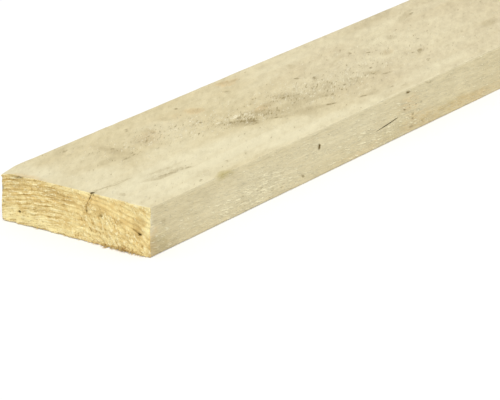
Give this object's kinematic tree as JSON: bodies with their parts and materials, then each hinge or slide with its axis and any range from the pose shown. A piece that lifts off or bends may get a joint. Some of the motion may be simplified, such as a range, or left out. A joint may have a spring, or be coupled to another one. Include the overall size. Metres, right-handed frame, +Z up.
{
  "type": "sawn wood board",
  "caption": "Straight rough-sawn softwood board of plain rectangular section, lying flat, with a short drying split at one end.",
  "frame": {"origin": "middle of the underside, on the surface the board lies on", "axes": "+X along the length, away from the split end; +Y across the width; +Z up through the thickness"},
  "size_m": [2, 0.1, 0.028],
  "materials": {
    "sawn_wood": "rough sawn, unplaned and untreated"
  },
  "bodies": {
    "root": {"board": "sawn_wood"}
  },
  "joints": []
}
